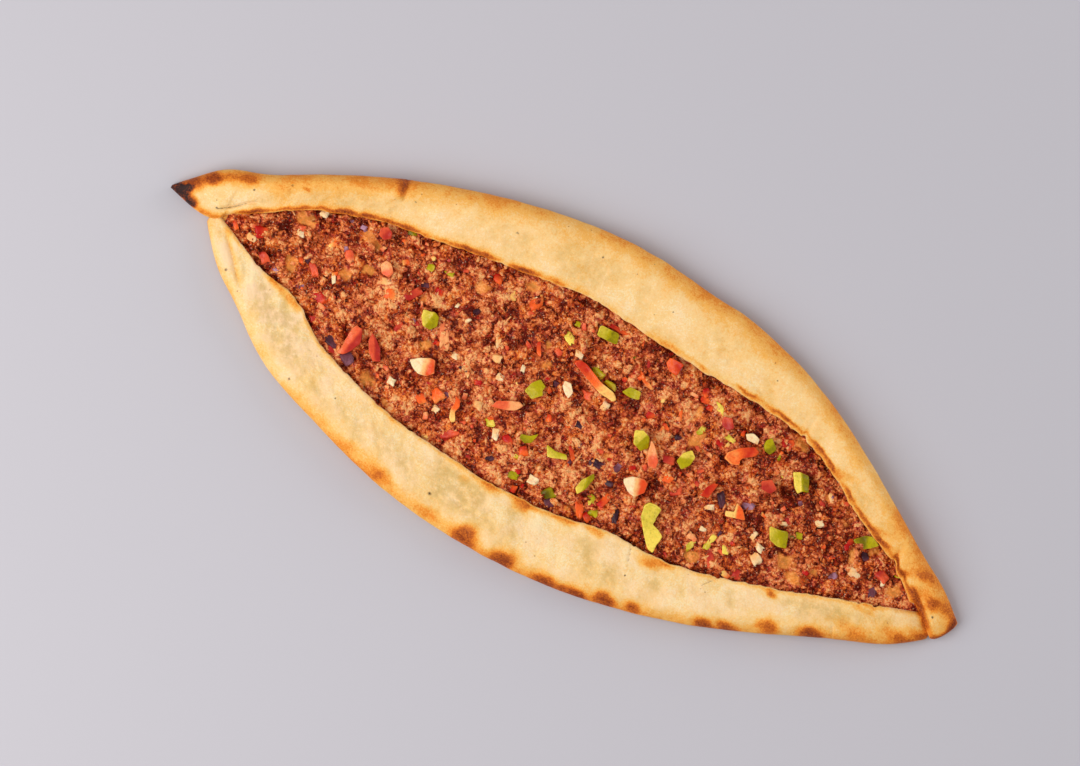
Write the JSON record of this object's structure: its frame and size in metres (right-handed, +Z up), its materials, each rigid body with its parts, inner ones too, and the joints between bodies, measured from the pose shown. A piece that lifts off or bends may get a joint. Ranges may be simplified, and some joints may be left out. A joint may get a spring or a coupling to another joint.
{
  "type": "boat-shaped meat flatbread",
  "caption": "Boat-shaped flatbread: thin dough with both long edges folded in and pinched to points, over minced meat with diced peppers, tomato and onion.",
  "frame": {"origin": "middle of the underside, at the centre of the bounding box's bottom", "axes": "+X from the burnt left tip to the right tip, +Y to the far, higher fold, +Z up"},
  "size_m": [0.4, 0.1533, 0.0162],
  "materials": {
    "crust": "baked dough, toasted in patches",
    "mince": "moist minced meat with fat and paste",
    "green_pepper": "cooked, moist",
    "red_pepper": "cooked, moist",
    "tomato": "cooked, moist",
    "onion": "cooked, translucent"
  },
  "bodies": {
    "root": {"dough": "crust", "filling": "mince", "green_pepper_01": "green_pepper", "green_pepper_02": "green_pepper", "green_pepper_03": "green_pepper", "green_pepper_04": "green_pepper", "green_pepper_05": "green_pepper", "green_pepper_06": "green_pepper", "green_pepper_07": "green_pepper", "green_pepper_08": "green_pepper", "green_pepper_09": "green_pepper", "green_pepper_10": "green_pepper", "green_pepper_11": "green_pepper", "green_pepper_skin": "green_pepper", "green_pepper_strip_01": "green_pepper", "green_pepper_strip_02": "green_pepper", "onion_01": "onion", "onion_02": "onion", "onion_03": "onion", "onion_04": "onion", "red_pepper_01": "red_pepper", "red_pepper_02": "red_pepper", "red_pepper_03": "red_pepper", "red_pepper_fork": "red_pepper", "red_pepper_strip_01": "red_pepper", "red_pepper_strip_02": "red_pepper", "tomato_01": "tomato", "tomato_02": "tomato", "tomato_03": "tomato", "tomato_04": "tomato", "tomato_05": "tomato", "tomato_06": "tomato", "tomato_wedge_01": "tomato", "tomato_wedge_02": "tomato"}
  },
  "joints": []
}
